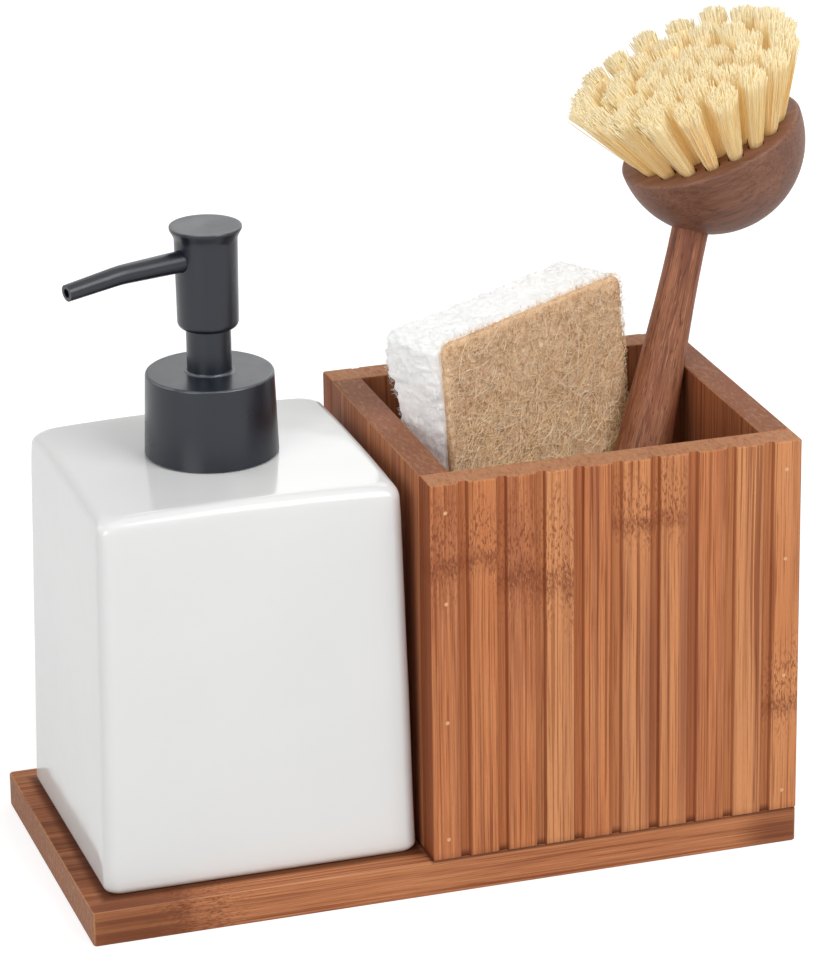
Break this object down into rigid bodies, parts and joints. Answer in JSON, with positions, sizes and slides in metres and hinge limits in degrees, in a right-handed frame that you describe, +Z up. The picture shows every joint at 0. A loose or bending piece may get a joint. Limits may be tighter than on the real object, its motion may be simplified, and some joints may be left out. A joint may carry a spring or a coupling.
{
  "type": "dish soap dispenser set",
  "caption": "Bamboo tray with a square ceramic soap bottle and press pump beside a ribbed caddy that holds a round dish brush and a two-sided sponge.",
  "frame": {"origin": "centre of the tray's underside", "axes": "+X along the tray from the bottle to the caddy, -Y the front with the ribbed panel, +Z up"},
  "size_m": [0.2541, 0.1259, 0.2323],
  "materials": {
    "bamboo_tray": "oiled carbonised bamboo",
    "bamboo_panel": "oiled carbonised bamboo",
    "filled_brad": "brads under pale filler",
    "white_glaze": "glossy white glaze",
    "white_plastic": "moulded",
    "dark_plastic": "moulded",
    "charcoal_coat": "satin charcoal coat",
    "seal_rubber": "moulded",
    "clear_plastic": "natural polyethylene",
    "steel": "plain stainless",
    "handle_wood": "turned and oiled",
    "walnut": "turned and oiled",
    "plant_fibre": "trimmed fibre tufts",
    "coconut_fibre": "matted coarse fibre",
    "cellulose": "porous cellulose"
  },
  "bodies": {
    "caddy": {"tray": "bamboo_tray", "panel_brads": "filled_brad", "box_front_panel": "bamboo_panel", "box_rear_panel": "bamboo_panel", "box_left_panel": "bamboo_panel", "box_right_panel": "bamboo_panel"},
    "bottle": {"bottle": "white_glaze", "neck_sleeve": "white_plastic"},
    "pump_core": {"pump_housing": "white_plastic", "retaining_ring": "white_plastic", "neck_gasket": "seal_rubber", "dip_tube": "clear_plastic", "return_spring": "steel"},
    "closure": {"threaded_closure": "dark_plastic", "collar_cover": "charcoal_coat"},
    "plunger": {"piston": "dark_plastic"},
    "head": {"stem": "dark_plastic", "actuator_core": "dark_plastic", "head_shell": "charcoal_coat", "spout": "charcoal_coat"},
    "inlet_ball": {"inlet_ball": "steel"},
    "brush": {"brush_handle": "handle_wood", "brush_head": "walnut", "bristle_tufts": "plant_fibre"},
    "sponge": {"sponge_body": "cellulose", "scouring_pad": "coconut_fibre"}
  },
  "joints": [
    {"name": "bottle_lift", "type": "slide", "parent": "caddy", "child": "bottle", "axis": [0, 0, 1], "range_m": [0, 0.12]},
    {"name": "closure_turn", "type": "hinge", "parent": "pump_core", "child": "closure", "pos_m": [-0.0558, 0, 0.135], "axis": [0, 0, 1], "range_deg": [0, 450]},
    {"name": "pump_rise", "type": "slide", "parent": "bottle", "child": "pump_core", "axis": [0, 0, 1], "range_m": [0, 0.0038]},
    {"name": "pump_press", "type": "slide", "parent": "pump_core", "child": "plunger", "axis": [0, 0, -1], "range_m": [0, 0.0122], "stiffness_N_per_m": 250, "springref_m": -0.02, "deforming": ["return_spring"]},
    {"name": "spout_swivel", "type": "hinge", "parent": "plunger", "child": "head", "pos_m": [-0.0558, 0, 0.1894], "axis": [0, 0, 1], "continuous": true},
    {"name": "ball_lift", "type": "slide", "parent": "pump_core", "child": "inlet_ball", "axis": [0, 0, 1], "range_m": [0, 0.0015]},
    {"name": "brush_lift", "type": "slide", "parent": "caddy", "child": "brush", "axis": [0, 0, 1], "range_m": [0, 0.13]},
    {"name": "sponge_lift", "type": "slide", "parent": "caddy", "child": "sponge", "axis": [-0.0585, 0.0032, 0.9983], "range_m": [0, 0.04]}
  ],
  "couplings": [
    {"joint": "pump_rise", "follows": "closure_turn", "m_per_rad": 0.00047746}
  ]
}
